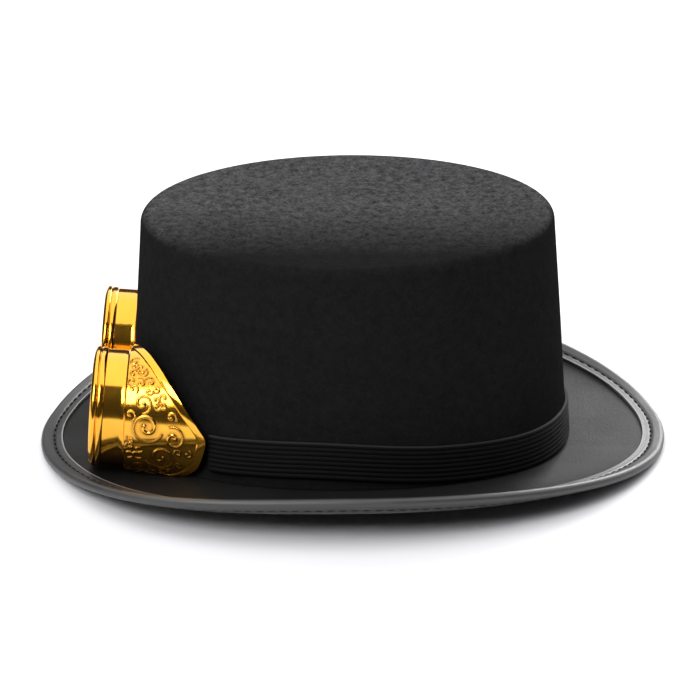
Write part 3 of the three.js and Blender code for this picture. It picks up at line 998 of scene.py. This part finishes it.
class HAT_OT_goggles(bpy.types.Operator):
    """Build both goggles and the nose bridge"""
    bl_idname = "hat.goggles"
    bl_label = "Gilt goggles"

    # Degrees round a cup where the wing lies, and the steps over the wing and over the rest
    wing_span = (15, 160)
    wing_columns = 380
    rest_columns = 110
    wing_rows = 110
    barrel_rows = 6

    # Shape of a scroll's ridge, and reach and depth of the darker hollow beside it
    ridge_power = 1.6
    hollow_reach = 3.2
    hollow_depth = 0.75

    # Step from the barrel to the wing in millimetres, as depth and growth in radius
    shoulder = ((0.35, 0.25), (0.7, 0.8), (0.9, 1.2))

    # Rise of the border, as depth in millimetres and share of its height
    border_rise = ((0.15, 0.3), (0.35, 0.8), (0.6, 1.0))

    # Softening of a cup's rear edge: its depth, and the share of the border's height at the edge
    edge_depth = 0.3 * MM
    edge_share = 0.6

    # Cut of a bezel's corner in millimetres, and the largest share of a side that it takes
    corner_cut = 0.16
    corner_share = 0.3

    lathe_steps = 160
    lens_rows = 16
    pole = 1e-6
    bridge_columns = 40
    bridge_section = 28
    bridge_squareness = 0.45

    def execute(self, context):
        gilt = gilt_material("gilt_plating", context.scene.hat_colours)
        glass = glass_material("lens_dark", context.scene.hat_colours)
        angles = self.cup_angles()
        wing = self.wing_relief(Goggle(context, 1), angles)
        for name, side in (("left", 1), ("right", -1)):
            goggle = Goggle(context, side)
            settle(self.cup(goggle, name, gilt, angles, wing), "gilt", f"goggle_cup_{name}")
            settle(self.bezel(goggle, name, gilt), "gilt", f"goggle_bezel_{name}")
            settle(self.lens(goggle, name, glass), "glass", f"goggle_lens_{name}")
        settle(self.bridge(Goggle(context, 1), gilt), "gilt", "nose_bridge")
        return {"FINISHED"}

    def cup_angles(self):
        """Angles once round a cup, close together over the wing."""
        start, end = self.wing_span
        wing = np.linspace(start, end, self.wing_columns, endpoint=False)
        rest = np.linspace(end, start + 360, self.rest_columns, endpoint=False)
        return np.radians(np.concatenate((wing, rest)))

    def wing_relief(self, goggle, angles):
        """Depths, scroll heights and hollow marks of the wing, row by row."""
        g = goggle.g
        scrolls = scroll_points(g.border)
        widths = scrolls[None, :, 2] * g.relief_width / MM
        gap_round = (angles * WING_RADIUS)[:, None] - scrolls[None, :, 0]
        borders = goggle.border(angles)
        rows = []
        for k in range(self.wing_rows + 1):
            depths = lerp(g.cup_start, borders, k / self.wing_rows)
            gap_depth = depths[:, None] / MM - scrolls[None, :, 1]
            spread = ((gap_round ** 2 + gap_depth ** 2) / widths ** 2).min(axis=1)
            lift = np.exp(-spread ** self.ridge_power)
            hollow = np.exp(-spread / self.hollow_reach ** 2)
            rows.append((depths, lift, lift - self.hollow_depth * hollow))
        return rows

    def cup(self, goggle, name, gilt, angles, wing):
        """Barrel, scrolled wing, smooth border and inside of one cup."""
        g = goggle.g
        rows = []
        relief = []

        def ring(depths, radii, clearance=BRIM_CLEARANCE, marks=0.0):
            """Add a row of points round the lens and their relief marks."""
            places = np.broadcast(angles, depths, radii)
            rows.append([goggle.round_point(*place, clearance) for place in places])
            relief.extend(np.broadcast_to(marks, len(angles)))

        for depth in np.linspace(g.barrel_front, g.barrel_back, self.barrel_rows):
            ring(depth, g.barrel)
        for depth, growth in self.shoulder:
            ring(g.barrel_back + depth * MM, g.barrel + growth * MM)
        for depths, lifts, marks in wing:
            ring(depths, goggle.wall_radius(depths) + g.relief * lifts, marks=marks)
        borders = goggle.border(angles)
        for depth, share in self.border_rise:
            ring(borders + depth * MM, goggle.wall_radius(borders) + share * g.border_height)
        edges = cup_edge(angles)
        edge_radii = goggle.wall_radius(edges)
        ring(edges - self.edge_depth, edge_radii + g.border_height)
        ring(edges, edge_radii + g.border_height * self.edge_share)
        inside = BRIM_CLEARANCE + g.wall
        ring(edges, edge_radii - g.wall, inside)
        ring(g.cup_start, g.cup - g.wall, inside)
        ring(g.barrel_back, g.barrel - g.wall, inside)
        ring(g.barrel_front, g.barrel - g.wall, inside)
        return grid_object(f"cup_{name}", rows, gilt, marks={"relief": relief})

    def lathe(self, goggle, name, section, material):
        """A piece turned round the lens from its section of depths and radii."""
        circle = [(math.sin(a), math.cos(a)) for a in turns(self.lathe_steps)]
        rows = [[goggle.point(radius * u, radius * w, depth) for u, w in circle] for depth, radius in section]
        return grid_object(name, rows, material)

    def bezel(self, goggle, name, gilt):
        """Stepped front ring with softened corners."""
        section = []
        count = len(BEZEL_SECTION)
        for k, corner in enumerate(BEZEL_SECTION):
            here = Vector(corner)
            for other in (BEZEL_SECTION[k - 1], BEZEL_SECTION[(k + 1) % count]):
                toward = Vector(other) - here
                cut = min(self.corner_cut, toward.length * self.corner_share)
                soft = here + toward.normalized() * cut
                section.append((soft.x * MM, soft.y * MM))
        return self.lathe(goggle, f"bezel_{name}", section, gilt)

    def lens(self, goggle, name, glass):
        """Slightly domed dark lens."""
        g = goggle.g
        section = []
        for k in range(self.lens_rows + 1):
            share = k / self.lens_rows
            depth = lerp(g.lens_middle, g.lens_edge, share ** 2)
            section.append((depth, max(self.pole, share) * g.lens))
        section += [(g.lens_back, g.lens), (g.lens_back, self.pole)]
        return self.lathe(goggle, f"lens_{name}", section, glass)

    def bridge(self, goggle, gilt):
        """Arched bar with rounded edges, its ends hollowed to the barrels."""
        g = goggle.g
        reach = g.barrel + g.bridge_gap
        rows = []
        for k in range(self.bridge_columns + 1):
            share = 2 * k / self.bridge_columns - 1
            row = []
            for a in turns(self.bridge_section):
                w = g.bridge_half * self.squared(math.cos(a)) + g.bridge_arch * (1 - share * share)
                depth = g.bridge_front + g.bridge_depth * (0.5 + 0.5 * self.squared(math.sin(a)))
                end = g.spacing / 2 - math.sqrt(reach ** 2 - w ** 2)
                row.append(goggle.point(share * end - g.spacing / 2, w, depth))
            rows.append(row)
        rows = [self.cap(rows[0])] + rows + [self.cap(rows[-1])]
        return grid_object("bridge", rows, gilt, closed_rows=False)

    def squared(self, value):
        """A sine or cosine pushed outward, so that a circle becomes a rounded square."""
        return math.copysign(abs(value) ** self.bridge_squareness, value)

    def cap(self, row):
        """A row drawn in to the middle of an end."""
        middle = sum(row, Vector()) / len(row)
        return [middle.copy() for _ in row]


class SoftBox(NamedTuple):
    """An area light: where it stands, the point it faces, its sides in metres and its power in watts."""
    name: str
    place: tuple
    aim: tuple
    width: float
    height: float
    power: float


class HAT_OT_stage(bpy.types.Operator):
    """Set up the floor, lights and camera"""
    bl_idname = "hat.stage"
    bl_label = "Floor, lights and camera"

    boxes = (
        SoftBox("overhead", (-1.9, 0.5, 2.4), (-1.9, 0.5, 0.0), width=6.2, height=7.0, power=205.0),
        SoftBox("wing_glint", (0.99, -0.615, 1.09), (0.07, -0.085, 0.03), width=0.55, height=0.7, power=12.0),
        SoftBox("back_right", (-1.5, 0.87, 0.75), (0.0, 0.05, 0.03), width=1.0, height=0.8, power=26.0),
        SoftBox("front_left", (0.6, -1.7, 0.9), (0.0, -0.05, 0.04), width=0.8, height=0.9, power=6.0),
    )
    floor_steps = 24

    def execute(self, context):
        settings = context.scene.hat_stage
        context.scene.view_settings.view_transform = "Standard"
        self.floor(context, settings.floor_size)
        self.light_up(context, settings.sky)
        self.camera(context, settings)
        return {"FINISHED"}

    def floor(self, context, half):
        """Wide pale floor."""
        spots = [lerp(-half, half, k / self.floor_steps) for k in range(self.floor_steps + 1)]
        rows = [[Vector((x, y, 0.0)) for y in spots] for x in reversed(spots)]
        board = floor_material("floor_board", context.scene.hat_colours)
        floor = grid_object("floor", rows, board, closed_rows=False, closed_columns=False)

    def light_up(self, context, sky):
        """Even sky and soft boxes."""
        world = bpy.data.worlds.new("studio")
        world.use_nodes = True
        backdrop = world.node_tree.nodes["Background"]
        backdrop.inputs["Color"].default_value = (1.0, 1.0, 1.0, 1.0)
        backdrop.inputs["Strength"].default_value = sky
        context.scene.world = world
        for box in self.boxes:
            lamp = bpy.data.lights.new(box.name, "AREA")
            lamp.shape = "RECTANGLE"
            lamp.size = box.width
            lamp.size_y = box.height
            lamp.energy = box.power
            holder = bpy.data.objects.new(box.name, lamp)
            holder.location = box.place
            facing = Vector(box.aim) - Vector(box.place)
            holder.rotation_euler = facing.to_track_quat("-Z", "Y").to_euler()
            context.scene.collection.objects.link(holder)

    def camera(self, context, settings):
        """Camera square to the wearer's left side, above the floor."""
        data = bpy.data.cameras.new("camera")
        data.lens = settings.lens
        data.sensor_width = 36
        data.clip_end = 50
        camera = bpy.data.objects.new("camera", data)
        sink = settings.camera_elevation
        forward = Vector((-math.cos(sink), 0.0, -math.sin(sink)))
        turn = forward.to_track_quat("-Z", "Y").to_matrix().to_4x4()
        roll = Matrix.Rotation(settings.camera_roll, 4, "Z")
        camera.matrix_world = Matrix.Translation(settings.camera_place) @ turn @ roll
        context.scene.collection.objects.link(camera)
        context.scene.camera = camera


class HAT_PT_panel(bpy.types.Panel):
    """Buttons that build the hat"""
    bl_label = "Goggle Top Hat"
    bl_idname = "HAT_PT_panel"
    bl_space_type = "VIEW_3D"
    bl_region_type = "UI"
    bl_category = "Hat"

    def draw(self, context):
        for operator in OPERATORS:
            self.layout.operator(operator.bl_idname)


SETTINGS = {
    "hat_sizes": HatSizes, "goggle_sizes": GoggleSizes,
    "hat_colours": HatColours, "hat_stage": StageSettings,
}
OPERATORS = (HAT_OT_felt, HAT_OT_hem, HAT_OT_elastic, HAT_OT_goggles, HAT_OT_stage)
CLASSES = (*SETTINGS.values(), *OPERATORS, HAT_PT_panel)


def register():
    """Add the classes and the scene's settings."""
    for item in CLASSES:
        bpy.utils.register_class(item)
    for name, group in SETTINGS.items():
        setattr(bpy.types.Scene, name, PointerProperty(type=group))


def unregister():
    """Remove the settings and the classes."""
    for name in SETTINGS:
        delattr(bpy.types.Scene, name)
    for item in reversed(CLASSES):
        bpy.utils.unregister_class(item)


def main():
    """Build every piece, then the stage."""
    register()
    bpy.ops.hat.felt()
    bpy.ops.hat.hem()
    bpy.ops.hat.elastic()
    bpy.ops.hat.goggles()
    bpy.ops.hat.stage()
    bpy.context.view_layer.update()


if __name__ == "__main__":
    main()
